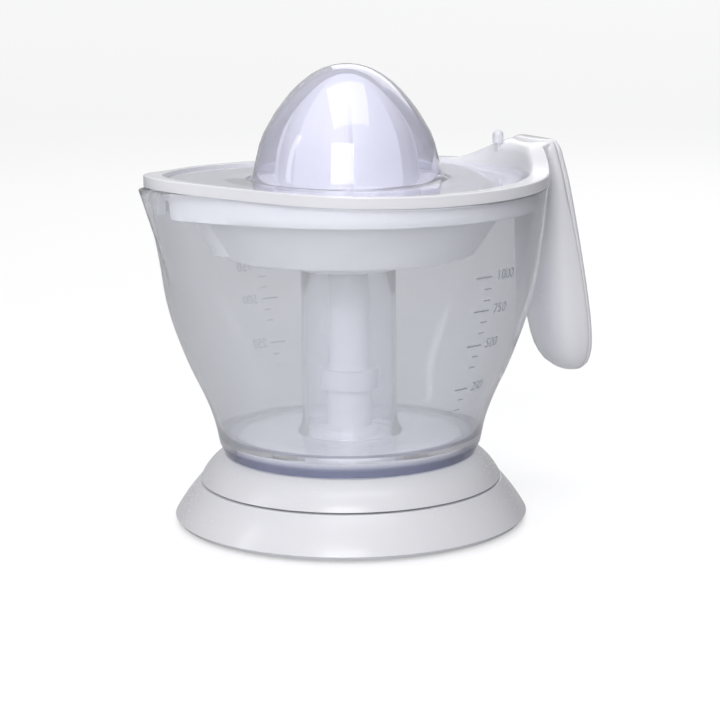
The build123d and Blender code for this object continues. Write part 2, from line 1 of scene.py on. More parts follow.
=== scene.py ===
# %% [markdown]
# # A citrus press juicer, dressed in Blender
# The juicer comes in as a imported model: every part is already in its place, in metres, with Z up,
# the spout towards -X and the handle towards +X.  This lesson gives those parts their finish, and
# builds again in mesh code the ones whose surface carries the look: the clear jug and its tube,
# the top frame with its handle, the clear cover and the ribbed cone.

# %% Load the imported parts
import json
import math

import bmesh
import bpy
from mathutils import Matrix, Vector


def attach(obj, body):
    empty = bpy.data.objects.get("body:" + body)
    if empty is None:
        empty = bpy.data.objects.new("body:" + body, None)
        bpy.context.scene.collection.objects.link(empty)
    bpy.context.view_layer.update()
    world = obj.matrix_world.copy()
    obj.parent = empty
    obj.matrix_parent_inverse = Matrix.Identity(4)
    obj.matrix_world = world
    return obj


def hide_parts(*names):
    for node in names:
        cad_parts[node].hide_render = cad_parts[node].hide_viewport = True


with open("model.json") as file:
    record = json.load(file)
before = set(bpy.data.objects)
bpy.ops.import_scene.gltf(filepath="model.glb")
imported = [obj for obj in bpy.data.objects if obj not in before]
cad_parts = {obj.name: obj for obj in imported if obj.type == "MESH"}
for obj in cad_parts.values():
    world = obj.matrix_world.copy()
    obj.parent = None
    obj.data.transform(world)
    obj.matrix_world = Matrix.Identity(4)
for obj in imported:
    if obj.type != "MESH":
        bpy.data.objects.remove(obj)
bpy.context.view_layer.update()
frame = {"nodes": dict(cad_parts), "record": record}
nodes = frame["nodes"]
MM = 0.001

# %% [markdown]
# ## The viewpoint
# The camera stands on the spout's side, a little above the lid, and looks slightly down with a
# long lens.  A long lens keeps the ovals of the rims calm; a short one would bulge them.  It is
# placed first, because every later choice of finish is judged from here.

# %% Place the camera
VIEW_TURN = math.radians(-23.5)     # how far the camera stands towards the spout
VIEW_DISTANCE = 942 * MM
VIEW_HEIGHT = 261 * MM
VIEW_PITCH = math.radians(11.35)
VIEW_ROLL = math.radians(-0.56)
VIEW_ASIDE = 4.8 * MM


def place_camera():
    away = Vector((math.sin(VIEW_TURN), -math.cos(VIEW_TURN), 0))
    aside = Vector((math.cos(VIEW_TURN), math.sin(VIEW_TURN), 0))
    lens = bpy.data.cameras.new("studio_camera")
    lens.lens = 106.2
    lens.sensor_width = 36
    lens.clip_start, lens.clip_end = 0.05, 60
    camera = bpy.data.objects.new("studio_camera", lens)
    bpy.context.scene.collection.objects.link(camera)
    place = Matrix.Translation(away * VIEW_DISTANCE + aside * VIEW_ASIDE + Vector((0, 0,
                                                                                   VIEW_HEIGHT)))
    turn = Matrix.Rotation(VIEW_TURN, 4, "Z") @ Matrix.Rotation(math.pi / 2 - VIEW_PITCH, 4, "X")
    camera.matrix_world = place @ turn @ Matrix.Rotation(VIEW_ROLL, 4, "Z")
    bpy.context.scene.camera = camera
    return camera


camera = place_camera()
print("camera at", [round(v, 3) for v in camera.matrix_world.translation])

# %% [markdown]
# ## Studio: floor, sky and lamps
# White goods on a white floor show their form only by what they mirror.  The surroundings are
# therefore bright in front, overhead and behind, and darker at both sides, so that every round
# part gets a soft grey edge.  A ring of grey cards would do the same; a graded sky is simpler.

# %% Floor and surroundings
def node_tree(owner):
    owner.use_nodes = True
    owner.node_tree.nodes.clear()
    return owner.node_tree


def add(tree, kind, **values):
    """Adds a shader node, with its settings and plain input values by name."""
    node = tree.nodes.new("ShaderNode" + kind)
    for name, value in values.items():
        if name in node.inputs:
            node.inputs[name].default_value = value
        else:
            setattr(node, name, value)
    return node


def ramp(tree, source, stops):
    """A colour ramp fed by source; stops are (place, grey or colour)."""
    node = tree.nodes.new("ShaderNodeValToRGB")
    bar = node.color_ramp.elements
    while len(bar) < len(stops):
        bar.new(0.5)
    for element, (place, colour) in zip(bar, stops):
        element.position = place
        element.color = (*colour, 1) if isinstance(colour, tuple) else (colour, colour, colour, 1)
    tree.links.new(source, node.inputs[0])
    return node.outputs[0]


def build_surroundings():
    world = bpy.data.worlds.new("studio")
    bpy.context.scene.world = world
    tree = node_tree(world)
    place = add(tree, "TexCoord")
    across = add(tree, "VectorMath", operation="DOT_PRODUCT")
    across.inputs[1].default_value = (math.cos(VIEW_TURN), math.sin(VIEW_TURN), 0)
    tree.links.new(place.outputs["Generated"], across.inputs[0])
    lift = add(tree, "Math", operation="MULTIPLY_ADD")
    lift.inputs[1].default_value, lift.inputs[2].default_value = 0.5, 0.5
    tree.links.new(across.outputs["Value"], lift.inputs[0])
    shade = ramp(tree, lift.outputs[0], [(0.0, 0.34), (0.16, 0.40), (0.38, 0.92), (0.58, 0.96),
                                         (0.82, 0.24), (1.0, 0.16)])
    sky = add(tree, "Background", Strength=0.58)
    tree.links.new(shade, sky.inputs["Color"])
    seen = add(tree, "Background", Color=(1, 1, 1, 1), Strength=1.0)
    path = add(tree, "LightPath")
    mix = add(tree, "MixShader")
    tree.links.new(path.outputs["Is Camera Ray"], mix.inputs[0])
    tree.links.new(sky.outputs[0], mix.inputs[1])
    tree.links.new(seen.outputs[0], mix.inputs[2])
    out = add(tree, "OutputWorld")
    tree.links.new(mix.outputs[0], out.inputs["Surface"])


FLOOR_GLOW = 0.50       # keeps the floor as pale as the sky for the eye without lighting the juicer


def build_floor():
    bm = bmesh.new()
    bmesh.ops.create_grid(bm, x_segments=2, y_segments=2, size=14)
    mesh = bpy.data.meshes.new("floor")
    bm.to_mesh(mesh)
    bm.free()
    floor = bpy.data.objects.new("floor", mesh)
    bpy.context.scene.collection.objects.link(floor)
    paint = bpy.data.materials.new("pale_floor")
    tree = node_tree(paint)
    out = add(tree, "OutputMaterial")
    gloss = add(tree, "BsdfPrincipled", Roughness=0.16)
    gloss.inputs["Base Color"].default_value = (0.62, 0.62, 0.64, 1)
    gloss.inputs["Emission Color"].default_value = (1, 1, 1, 1)
    path = add(tree, "LightPath")
    glow = add(tree, "Math", operation="MULTIPLY")
    glow.inputs[1].default_value = FLOOR_GLOW
    tree.links.new(path.outputs["Is Camera Ray"], glow.inputs[0])
    tree.links.new(glow.outputs[0], gloss.inputs["Emission Strength"])
    tree.links.new(gloss.outputs[0], out.inputs["Surface"])
    mesh.materials.append(paint)


build_surroundings()
build_floor()
print("floor and sky are in place")

# %% Lamps
def softbox(name, turn, elevation, distance, size, power):
    """A square soft lamp that looks at the jug; turn is measured from the camera's side."""
    lamp = bpy.data.lights.new(name, "AREA")
    lamp.shape = "RECTANGLE"
    lamp.size, lamp.size_y = size
    lamp.energy = power
    angle, up = VIEW_TURN + math.radians(turn), math.radians(elevation)
    away = Vector((math.sin(angle) * math.cos(up), -math.cos(angle) * math.cos(up), math.sin(up)))
    holder = bpy.data.objects.new(name, lamp)
    holder.location = away * distance + Vector((0, 0, 0.1))
    holder.rotation_mode = "QUATERNION"
    holder.rotation_quaternion = away.to_track_quat("Z", "Y")
    bpy.context.scene.collection.objects.link(holder)


softbox("front_box", -6, 26, 1.5, (0.7, 0.9), 9.6)
softbox("top_box", 10, 80, 1.2, (0.9, 0.9), 4.8)
softbox("left_strip", -78, 22, 1.3, (0.16, 0.8), 1.2)
softbox("back_box", 165, 35, 1.6, (1.2, 0.8), 4.0)
view = bpy.context.scene.view_settings
view.view_transform = "Standard"

# %% [markdown]
# ## Finishes
# Moulded plastic is never perfectly even: it has a very fine grain from the tool's surface, slow
# waves where the melt flowed, and faint rubbing marks.  Three small node groups make those once;
# every finish then uses them with its own values.

# %% Shared effects as node groups
def effect_group(name, inputs, outputs):
    """An empty shader group with named sockets; returns the tree and its two end nodes."""
    tree = bpy.data.node_groups.new(name, "ShaderNodeTree")
    for label, value in inputs.items():
        socket = tree.interface.new_socket(label, in_out="INPUT", socket_type="NodeSocketFloat")
        socket.default_value = value
    for label in outputs:
        tree.interface.new_socket(label, in_out="OUTPUT", socket_type="NodeSocketFloat")
    return tree, tree.nodes.new("NodeGroupInput"), tree.nodes.new("NodeGroupOutput")


def grain_group():
    """Fine tool grain and slow flow waves: a height and a roughness."""
    tree, given, result = effect_group(
        "tool_grain", {"Grain Size": 0.25, "Wave Size": 30.0, "Roughness": 0.3,
                       "Spread": 0.08}, ("Height", "Roughness"))
    place = add(tree, "TexCoord")
    sizes = []
    for label in ("Grain Size", "Wave Size"):
        per_metre = add(tree, "Math", operation="DIVIDE")
        per_metre.inputs[0].default_value = 1000.0
        tree.links.new(given.outputs[label], per_metre.inputs[1])
        noise = add(tree, "TexNoise", Detail=3.0)
        tree.links.new(place.outputs["Object"], noise.inputs["Vector"])
        tree.links.new(per_metre.outputs[0], noise.inputs["Scale"])
        sizes.append(noise.outputs[0])
    tree.links.new(sizes[0], result.inputs["Height"])
    both = add(tree, "Math", operation="ADD")
    tree.links.new(sizes[0], both.inputs[0])
    tree.links.new(sizes[1], both.inputs[1])
    centred = add(tree, "Math", operation="SUBTRACT")
    centred.inputs[1].default_value = 1.0
    tree.links.new(both.outputs[0], centred.inputs[0])
    spread = add(tree, "Math", operation="MULTIPLY_ADD")
    tree.links.new(centred.outputs[0], spread.inputs[0])
    tree.links.new(given.outputs["Spread"], spread.inputs[1])
    tree.links.new(given.outputs["Roughness"], spread.inputs[2])
    tree.links.new(spread.outputs[0], result.inputs["Roughness"])
    return tree


def rub_group():
    """Faint rubbing marks: a mask of short, thin strokes, densest in a few patches."""
    tree, given, result = effect_group("rubbing_marks", {"Stroke Size": 4.0, "Amount": 0.5},
                                       ("Mask",))
    place = add(tree, "TexCoord")
    stretch = add(tree, "Mapping")
    stretch.inputs["Scale"].default_value = (1.0, 1.0, 9.0)
    stretch.inputs["Rotation"].default_value = (0.3, 0.5, 0.0)
    tree.links.new(place.outputs["Object"], stretch.inputs["Vector"])
    per_metre = add(tree, "Math", operation="DIVIDE")
    per_metre.inputs[0].default_value = 1000.0
    tree.links.new(given.outputs["Stroke Size"], per_metre.inputs[1])
    strokes = add(tree, "TexNoise", Detail=4.0)
    tree.links.new(stretch.outputs[0], strokes.inputs["Vector"])
    tree.links.new(per_metre.outputs[0], strokes.inputs["Scale"])
    patches = add(tree, "TexNoise", Scale=28.0, Detail=2.0)
    tree.links.new(place.outputs["Object"], patches.inputs["Vector"])
    thin = ramp(tree, strokes.outputs[0], [(0.56, 0.0), (0.66, 1.0)])
    where = ramp(tree, patches.outputs[0], [(0.45, 0.0), (0.65, 1.0)])
    mask = add(tree, "Math", operation="MULTIPLY")
    tree.links.new(thin, mask.inputs[0])
    tree.links.new(where, mask.inputs[1])
    scaled = add(tree, "Math", operation="MULTIPLY")
    tree.links.new(mask.outputs[0], scaled.inputs[0])
    tree.links.new(given.outputs["Amount"], scaled.inputs[1])
    tree.links.new(scaled.outputs[0], result.inputs["Mask"])
    return tree


def brushed_group():
    """Long parallel lines of a rolled or drawn metal."""
    tree, given, result = effect_group("drawn_lines", {"Line Size": 0.4}, ("Lines",))
    place = add(tree, "TexCoord")
    stretch = add(tree, "Mapping")
    stretch.inputs["Scale"].default_value = (0.06, 1.0, 1.0)
    tree.links.new(place.outputs["Object"], stretch.inputs["Vector"])
    per_metre = add(tree, "Math", operation="DIVIDE")
    per_metre.inputs[0].default_value = 1000.0
    tree.links.new(given.outputs["Line Size"], per_metre.inputs[1])
    lines = add(tree, "TexNoise", Detail=3.0)
    tree.links.new(stretch.outputs[0], lines.inputs["Vector"])
    tree.links.new(per_metre.outputs[0], lines.inputs["Scale"])
    tree.links.new(lines.outputs[0], result.inputs["Lines"])
    return tree


GRAIN, RUB, DRAWN = grain_group(), rub_group(), brushed_group()
print("effects:", [g.name for g in bpy.data.node_groups])


# %% A maker for solid finishes
def place_group(tree, group, **values):
    node = tree.nodes.new("ShaderNodeGroup")
    node.node_tree = group
    for name, value in values.items():
        node.inputs[name.replace("_", " ")].default_value = value
    return node


def solid_finish(name, colour, worn, roughness, spread=0.08, grain=0.25, wave=30.0, bump=0.02,
                 rub=0.5, metallic=0.0, coat=0.0, drawn=0.0):
    """A plastic, rubber or metal: colour turns to worn where it is rubbed or slightly uneven."""
    paint = bpy.data.materials.new(name)
    tree = node_tree(paint)
    shader = add(tree, "BsdfPrincipled", Metallic=metallic)
    shader.inputs["Coat Weight"].default_value = coat
    shader.inputs["Coat Roughness"].default_value = 0.12
    fine = place_group(tree, GRAIN, Grain_Size=grain, Wave_Size=wave, Roughness=roughness,
                       Spread=spread)
    marks = place_group(tree, RUB, Amount=rub)
    blend = add(tree, "Mix", data_type="RGBA")
    blend.inputs["A"].default_value, blend.inputs["B"].default_value = (*colour, 1), (*worn, 1)
    source = marks.outputs["Mask"]
    if drawn:
        lines = place_group(tree, DRAWN, Line_Size=drawn)
        sum_ = add(tree, "Math", operation="ADD", use_clamp=True)
        tree.links.new(source, sum_.inputs[0])
        tree.links.new(ramp(tree, lines.outputs["Lines"], [(0.4, 0.0), (0.7, 0.5)]), sum_.inputs[1])
        source = sum_.outputs[0]
    tree.links.new(source, blend.inputs["Factor"])
    tree.links.new(blend.outputs["Result"], shader.inputs["Base Color"])
    rough = add(tree, "Math", operation="MULTIPLY_ADD", use_clamp=True)
    rough.inputs[1].default_value = 0.12
    tree.links.new(source, rough.inputs[0])
    tree.links.new(fine.outputs["Roughness"], rough.inputs[2])
    tree.links.new(rough.outputs[0], shader.inputs["Roughness"])
    relief = add(tree, "Bump", Strength=bump, Distance=0.0004)
    tree.links.new(fine.outputs["Height"], relief.inputs["Height"])
    tree.links.new(relief.outputs[0], shader.inputs["Normal"])
    out = add(tree, "OutputMaterial")
    tree.links.new(shader.outputs[0], out.inputs["Surface"])
    return paint


FINISHES = {
    "white_casing": solid_finish(
        "white_casing_plastic", (0.86, 0.86, 0.90), (0.80, 0.80, 0.84), 0.24, coat=0.2),
    "white_matte": solid_finish(
        "white_satin_plastic", (0.84, 0.84, 0.87), (0.79, 0.79, 0.82), 0.42, bump=0.05),
    "white_gloss": solid_finish(
        "white_polished_plastic", (0.82, 0.82, 0.87), (0.77, 0.77, 0.82), 0.32, coat=0.1),
    "grey_rubber": solid_finish(
        "grey_rubber", (0.06, 0.062, 0.07), (0.10, 0.10, 0.11), 0.72, grain=0.5, bump=0.2),
    "black_rubber": solid_finish(
        "black_rubber", (0.012, 0.012, 0.014), (0.04, 0.04, 0.04), 0.66, grain=0.4, bump=0.15),
    "zinc_steel": solid_finish(
        "zinc_plated_steel", (0.62, 0.64, 0.66), (0.46, 0.47, 0.48), 0.34, metallic=1.0, wave=5.0),
    "stamped_steel": solid_finish(
        "rolled_sheet_steel", (0.50, 0.51, 0.52), (0.34, 0.34, 0.35), 0.38, metallic=1.0,
        drawn=0.5),
    "bright_steel": solid_finish(
        "ground_steel", (0.68, 0.68, 0.70), (0.52, 0.52, 0.53), 0.22, metallic=1.0, drawn=0.25),
    "nylon_natural": solid_finish(
        "natural_nylon", (0.78, 0.74, 0.64), (0.70, 0.66, 0.56), 0.48, bump=0.06),
    "copper_wire": solid_finish(
        "enamelled_copper", (0.55, 0.19, 0.08), (0.36, 0.11, 0.05), 0.28, metallic=1.0, drawn=0.3),
    "bronze": solid_finish(
        "sintered_bronze", (0.45, 0.28, 0.11), (0.30, 0.18, 0.07), 0.5, metallic=1.0, grain=0.3,
        bump=0.2),
    "black_plastic": solid_finish(
        "black_moulding", (0.014, 0.014, 0.016), (0.05, 0.05, 0.055), 0.4, bump=0.06),
    "ferrite": solid_finish(
        "sintered_ferrite", (0.035, 0.035, 0.038), (0.07, 0.07, 0.07), 0.62, grain=0.6, bump=0.2),
}
print("solid finishes:", len(FINISHES))

# %% [markdown]
# ## Clear plastic
# The jug and the cover are moulded in a clear, faintly smoky plastic.  Real walls bend light
# twice, so the meshes have a true wall and the shader a true refractive index.  Lamps would
# reach the inside only by chance paths, so a lamp's ray passes straight through instead, tinted.
# The jug's foot is painted darker and bluer: a painted shade for the dark band seen where the eye
# looks along the wall.

# %% Clear finishes
def clear_finish(name, tint, foot_painted_shade=None, roughness=0.035, clearness=0.88,
                 shadow=(0.97, 0.97, 0.98)):
    paint = bpy.data.materials.new(name)
    tree = node_tree(paint)
    glass = add(tree, "BsdfPrincipled", IOR=1.45)
    glass.inputs["Transmission Weight"].default_value = clearness
    fine = place_group(tree, GRAIN, Grain_Size=9.0, Wave_Size=34.0, Roughness=roughness,
                       Spread=0.03)
    marks = place_group(tree, RUB, Amount=0.25)
    rough = add(tree, "Math", operation="MULTIPLY_ADD", use_clamp=True)
    rough.inputs[1].default_value = 0.08
    tree.links.new(marks.outputs["Mask"], rough.inputs[0])
    tree.links.new(fine.outputs["Roughness"], rough.inputs[2])
    tree.links.new(rough.outputs[0], glass.inputs["Roughness"])
    place = add(tree, "TexCoord")
    # Below the foot's top the colour turns to a painted shade, darker and bluer, standing in for the
    # dark band where the eye looks along the wall.
    if foot_painted_shade:
        height = add(tree, "SeparateXYZ")
        tree.links.new(place.outputs["Object"], height.inputs[0])
        share = add(tree, "Math", operation="MULTIPLY")
        share.inputs[1].default_value = 5.0
        tree.links.new(height.outputs["Z"], share.inputs[0])
        colour = ramp(tree, share.outputs[0], [(0.172, foot_painted_shade), (0.19, tint), (1.0, tint)])
    else:
        waves = add(tree, "TexNoise", Scale=14.0, Detail=1.0)
        tree.links.new(place.outputs["Object"], waves.inputs["Vector"])
        colour = ramp(tree, waves.outputs[0], [(0.3, tint), (0.7, tuple(0.97 * c for c in tint))])
    tree.links.new(colour, glass.inputs["Base Color"])
    relief = add(tree, "Bump", Strength=0.01, Distance=0.0006)
    tree.links.new(fine.outputs["Height"], relief.inputs["Height"])
    tree.links.new(relief.outputs[0], glass.inputs["Normal"])
    clear = add(tree, "BsdfTransparent", Color=(*shadow, 1))
    path = add(tree, "LightPath")
    mix = add(tree, "MixShader")
    tree.links.new(path.outputs["Is Shadow Ray"], mix.inputs[0])
    tree.links.new(glass.outputs[0], mix.inputs[1])
    tree.links.new(clear.outputs[0], mix.inputs[2])
    out = add(tree, "OutputMaterial")
    tree.links.new(mix.outputs[0], out.inputs["Surface"])
    return paint


# The jug's foot band gets a painted shade: a dark, bluish colour in place of the darkness seen along
# the wall.
FINISHES["clear_smoke"] = clear_finish("smoky_clear_plastic", (0.93, 0.94, 0.97),
                                       foot_painted_shade=(0.30, 0.32, 0.43), clearness=0.84)
FINISHES["clear_cover"] = clear_finish("lavender_clear_plastic", (0.88, 0.88, 0.96), clearness=0.86)

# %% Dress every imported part
slots = {entry["node"]: entry["material_slot"] for entry in frame["record"]["subparts"]}
for name, part in nodes.items():
    for socket in part.material_slots:
        socket.material = FINISHES[slots[name]]
print("dressed:", len(nodes), "parts in", len(set(slots.values())), "finishes")

# %% [markdown]
# ## A helper for turned and lofted walls
# The jug, the cover and the cone are all stacks of closed rings.  They could be spun from a
# profile, but their rings are egg-shaped or ribbed, so each wall grows from one circle instead:
# the circle's edges are extruded again and again, and every new ring is moved to its own outline.
# A vertex keeps its own angle in a layer, which the extrusion copies, so it needs no face list.

# %% Rings into walls
def piece_from(bm, name, body, finish, stands_for=(), crease=38):
    """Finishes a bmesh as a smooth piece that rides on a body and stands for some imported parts."""
    bmesh.ops.recalc_face_normals(bm, faces=bm.faces)
    mesh = bpy.data.meshes.new(name)
    bm.to_mesh(mesh)
    bm.free()
    mesh.shade_smooth()
    mesh.set_sharp_from_angle(angle=math.radians(crease))
    mesh.materials.append(finish)
    piece = bpy.data.objects.new(name, mesh)
    bpy.context.scene.collection.objects.link(piece)
    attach(piece, body)
    if stands_for:
        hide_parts(*stands_for)
    print(f"{name}: {len(mesh.vertices)} vertices, {len(mesh.polygons)} faces")
    return piece


def crowded(turn, share=0.5):
    """Moves evenly spaced angles towards 0, where the spout's tight curve needs more of them."""
    part = turn / math.pi
    return math.pi * (share * part + (1 - share) * part * abs(part))


def grow_wall(rings, segments=144, spacing=None, closed=True):
    """Extrudes one circle through all the rings; a ring turns an angle into a point in mm."""
    bm = bmesh.new()
    turn = bm.verts.layers.float.new("turn")
    bmesh.ops.create_circle(bm, segments=segments, radius=1.0)
    for corner in bm.verts:
        angle = math.atan2(corner.co.y, corner.co.x)
        corner[turn] = spacing(angle) if spacing else angle
        corner.co = Vector(rings[0](corner[turn])) * MM
    first = edges = list(bm.edges)
    for ring in rings[1:]:
        grown = bmesh.ops.extrude_edge_only(bm, edges=edges)["geom"]
        corners = {g for g in grown if isinstance(g, bmesh.types.BMVert)}
        for corner in corners:
            corner.co = Vector(ring(corner[turn])) * MM
        edges = [g for g in grown if isinstance(g, bmesh.types.BMEdge) and set(g.verts) <= corners]
    if closed:
        bmesh.ops.bridge_loops(bm, edges=list(first) + edges)
    bmesh.ops.remove_doubles(bm, verts=bm.verts, dist=2e-6)
    return bm


def round_ring(radius, height):
    """A plain circle; angles run from the spout's direction."""
    return lambda angle: (-radius * math.cos(angle), -radius * math.sin(angle), height)


def along(table, height):
    """Smooth values between the rows of a table whose first column is the height."""
    last = len(table) - 1
    row = max(0, min(last - 1, sum(1 for r in table if r[0] <= height) - 1))
    low, high = table[row], table[row + 1]
    before, after = table[max(0, row - 1)], table[min(last, row + 2)]
    span = high[0] - low[0]
    t = (height - low[0]) / span
    values = []
    for k in range(1, len(low)):
        slope_low = (high[k] - before[k]) / (high[0] - before[0])
        slope_high = (after[k] - low[k]) / (after[0] - low[0])
        values.append((2 * t ** 3 - 3 * t ** 2 + 1) * low[k]
                      + (t ** 3 - 2 * t ** 2 + t) * span * slope_low
                      + (3 * t ** 2 - 2 * t ** 3) * high[k] + (t ** 3 - t ** 2) * span * slope_high)
    return values


# %% [markdown]
# ## The clear jug
# The jug starts as a round foot, swells as it rises, and its round section slides towards the
# handle while a spout grows out of it.  Near the rim a small V beak stands out of the spout.
# Both shapes are known as a radius at each angle, so the wall is the larger of the two with a
# soft crease between them.  The wall is a true 1.8 mm shell, because light has to bend in it.

# %% Outline of the jug
SPOUT_WIDTH = math.radians(22.0)
JUG_TABLE = (      # height, circle, shift towards the handle, reach of the spout
    (36.0, 59.2, 0.0, 0.0), (47.0, 61.6, 0.0, 0.0), (58.0, 65.6, 0.0, 0.0), (70.0, 71.2, 0.0, 0.0),
    (82.0, 76.0, 0.0, 0.0), (94.0, 80.0, 0.2, 0.2), (106.0, 82.8, 0.9, 1.0), (119.0, 83.8, 2.4,
                                                                              4.2),
    (132.0, 83.9, 4.0, 8.6), (145.0, 83.6, 5.7, 13.6), (158.0, 83.4, 7.2, 17.6))
JUG_WALL = 1.8
JUG_RIM = 150.0
FLOOR_LOW, FLOOR_HIGH = 38.2, 40.4
TUBE_FOOT = 24.0


def egg(angle, circle, shift, reach):
    """Radius of the egg outline at an angle from the spout."""
    off_axis = shift * math.sin(angle)
    return (-shift * math.cos(angle) + math.sqrt(circle ** 2 - off_axis ** 2)
            + reach * math.exp(-(angle / SPOUT_WIDTH) ** 2))


def rim_rise(x):
    """How far the rim stands above its height at the sides: most at the spout."""
    return 5.0 * (x / 94.0) ** 2 if x < 0 else 1.5 * (x / 90.0) ** 2


def beak_radius(angle, height, inset):
    """Radius of the V beak's leaning cone, or 0 where the ray misses it."""
    share = (height - 110.0) / 48.0
    centre, half = 79.8 + 7.5 * share, 3.0 + 7.6 * share - inset
    if share < 0 or half <= 0:
        return 0.0
    room = half ** 2 - (centre * math.sin(angle)) ** 2
    return centre * math.cos(angle) + math.sqrt(room) if room > 0 and abs(angle) < 1 else 0.0


def jug_radius(angle, height, inset):
    circle, shift, reach = along(JUG_TABLE, height)
    wall, beak = egg(angle, circle - inset, shift, reach), beak_radius(angle, height, inset)
    blend = max(0.0, 1.0 - abs(wall - beak) / 0.9) if beak else 0.0
    return max(wall, beak) + 0.22 * blend * blend


def jug_ring(height, inset):
    def ring(angle):
        r = jug_radius(angle, height, inset)
        return (-r * math.cos(angle), -r * math.sin(angle), height)
    return ring


def rim_ring(share, inset, sink=0.0):
    """A ring between height 142 and the curved rim."""
    def ring(angle):
        level = JUG_RIM + rim_rise(-92.0 * math.cos(angle)) - sink
        height = 142.0 + share * (level - 142.0)
        r = jug_radius(angle, height, inset)
        return (-r * math.cos(angle), -r * math.sin(angle), height)
    return ring


# %% Build the jug's wall
def build_jug():
    heights = [36.0, 36.4, 38.0] + [40.0 + 3.4 * i for i in range(30)]
    climb = [jug_ring(z, 0.0) for z in heights] + [rim_ring(s, 0.0) for s in (0.05, 0.4, 0.75,
                                                                              0.95)]
    rim = [rim_ring(1.0, 0.25, 0.25), rim_ring(1.0, 0.7), rim_ring(1.0, 1.1),
           rim_ring(1.0, 1.55, 0.25)]
    descent = [rim_ring(s, JUG_WALL) for s in (0.95, 0.75, 0.4, 0.05)]
    descent += [jug_ring(z, JUG_WALL) for z in reversed(heights) if z > 43.0]
    low_inner = [jug_ring(42.2, JUG_WALL + 0.2), jug_ring(41.2, JUG_WALL + 0.7),
                 jug_ring(40.6, JUG_WALL + 1.6)]
    floor = [round_ring(55.0, FLOOR_HIGH), round_ring(40.0, FLOOR_HIGH),
             round_ring(TUBE_FOOT + 0.3, FLOOR_HIGH),
             round_ring(TUBE_FOOT, FLOOR_HIGH), round_ring(TUBE_FOOT,
                                                           FLOOR_LOW), round_ring(TUBE_FOOT + 0.3,
                                                                                  FLOOR_LOW),
             round_ring(53.0, FLOOR_LOW), round_ring(53.2, FLOOR_LOW - 0.2)]
    foot = [round_ring(53.2, 34.6), round_ring(53.2, 31.5), round_ring(53.5, 31.2),
            round_ring(56.5, 31.2),
            round_ring(57.0, 31.4), round_ring(58.45, 34.4), round_ring(58.6,
                                                                        34.9), round_ring(58.6,
                                                                                          35.8)]
    wall = grow_wall(climb + rim + descent + low_inner + floor + foot, segments=176,
                     spacing=crowded)
    return piece_from(wall, "jug_wall", "jug", FINISHES["clear_smoke"],
                      ["jug", "jug_foot"])


build_jug()

# %% [markdown]
# The tube in the jug's middle keeps the juice away from the drive.  It is moulded in one with the
# jug, and it flares a little where it meets the floor, as a moulding does to leave its tool.

# %% Build the central tube
def build_tube():
    profile = [(24.0, 38.2), (24.0, 40.4), (23.4, 41.2), (22.3, 43.2), (21.7, 45.2), (21.4, 48.0),
               (21.4, 60.0),
               (21.4, 80.0), (21.4, 100.0), (21.4, 117.5), (21.1, 118.0), (19.9, 118.0), (19.6,
                                                                                          117.5),
               (19.6, 100.0), (19.6, 80.0), (19.6, 60.0), (19.6, 47.0), (19.9, 43.0), (20.4, 38.2)]
    wall = grow_wall([round_ring(r, z) for r, z in profile], segments=96)
    return piece_from(wall, "jug_centre_tube", "jug", FINISHES["clear_smoke"],
                      ["jug_tube"])


build_tube()

# %% [markdown]
# ## Volume marks
# The marks are printed on the jug's side.  Type is set flat first, made a mesh, and then wrapped
# on the wall: each vertex turns its distance along the line into an angle round the jug.

# %% Print the marks
# The heights are listed one by one.  They are not computed from the jug's volume, which is about a
# fifth more below each line than the line reads.
MARK_HEIGHTS = {"1000": 119.0, "750": 104.5, "500": 89.0, "250": 69.0}
MARK_SIZE = 6.0


def flat_type(text):
    curve = bpy.data.curves.new("type", "FONT")
    curve.body, curve.size, curve.extrude = text, MARK_SIZE, 0.03
    curve.align_x, curve.align_y = "LEFT", "CENTER"
    holder = bpy.data.objects.new("type", curve)
    bpy.context.scene.collection.objects.link(holder)
    bpy.context.view_layer.update()
    mesh = bpy.data.meshes.new_from_object(holder)
    bpy.data.objects.remove(holder)
    return mesh


def wrap(bm, corners, azimuth, height):
    """Wraps flat corners (mm, X along the line and Y up) on the jug; azimuth 0 faces -Y."""
    for corner in corners:
        along_line, up, out = corner.co
        z = height + up
        face = math.radians(azimuth) + along_line / 83.0
        angle = math.atan2(math.cos(face), -math.sin(face))
        r = jug_radius(angle, z, 0.0) + 0.05 + out
        corner.co = Vector((math.sin(face) * r, -math.cos(face) * r, z)) * MM


def build_marks(name, azimuth):
    bm = bmesh.new()
    for text, height in MARK_HEIGHTS.items():
        mesh = flat_type(text)
        before = set(bm.verts)
        bm.from_mesh(mesh)
        letters = [v for v in bm.verts if v not in before]
        bmesh.ops.translate(bm, verts=letters, vec=(2.0, 0, 0))
        line = bmesh.ops.create_grid(bm, x_segments=8, y_segments=1, size=0.5)["verts"]
        bmesh.ops.scale(bm, verts=line, vec=(9.0, 0.7, 1.0))
        bmesh.ops.translate(bm, verts=line, vec=(-5.5, 0, 0.02))
        for step in (0.34, 0.67):
            short = bmesh.ops.create_grid(bm, x_segments=4, y_segments=1, size=0.5)["verts"]
            bmesh.ops.scale(bm, verts=short, vec=(4.0, 0.5, 1.0))
            bmesh.ops.translate(bm, verts=short, vec=(-3.0, -15.0 * step, 0.02))
            line = line + short
        wrap(bm, letters + line, azimuth, height)
    ink = solid_finish("mark_ink_" + name, (0.42, 0.44, 0.50), (0.55, 0.57, 0.62), 0.5, grain=0.12,
                       bump=0.05)
    return piece_from(bm, name, "jug", ink)


build_marks("marks_front", 23.0)
build_marks("marks_back", 190.0)

# %% [markdown]
# ## The top frame and its handle
# The frame is an egg-shaped lip with a recess for the cover and a skirt that drops into the jug.
# Towards the handle its top swells into a smooth ramp that carries the handle's arm.  Boxes
# joined to a ring would leave hard corners there, so ramp and ring are one wall: each ring of
# vertices lies on the same gentle hill.

